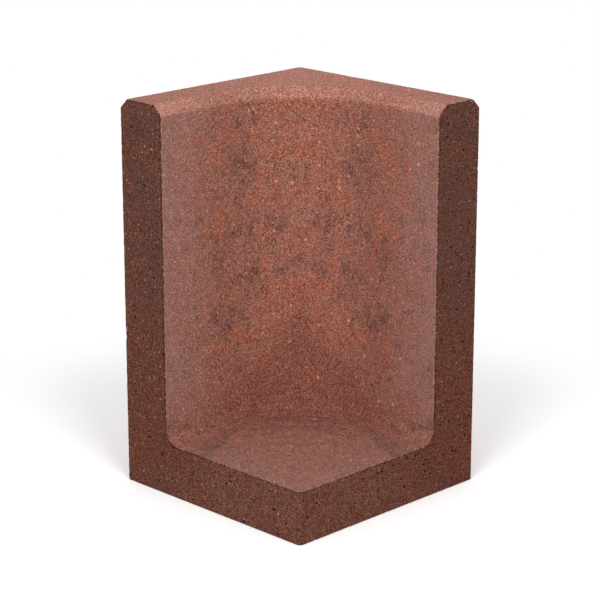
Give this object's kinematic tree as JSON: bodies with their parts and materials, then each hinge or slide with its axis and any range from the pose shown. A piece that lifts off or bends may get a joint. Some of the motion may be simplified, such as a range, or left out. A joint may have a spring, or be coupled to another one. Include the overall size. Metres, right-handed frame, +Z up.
{
  "type": "retaining wall corner element",
  "caption": "Cast concrete corner element for a low retaining wall: upright legs at a right angle on a shared square foot, with bevelled top edges and a rounded inside corner.",
  "frame": {"origin": "on the ground, at the middle of the square foot print", "axes": "+Z up; the walls stand along the -X and the +Y side, so the outer corner is at -X +Y, and the foot's free corner is at +X -Y"},
  "size_m": [0.25, 0.25, 0.4],
  "materials": {
    "coloured_concrete": "matte"
  },
  "bodies": {
    "root": {"corner_element": "coloured_concrete"}
  },
  "joints": []
}
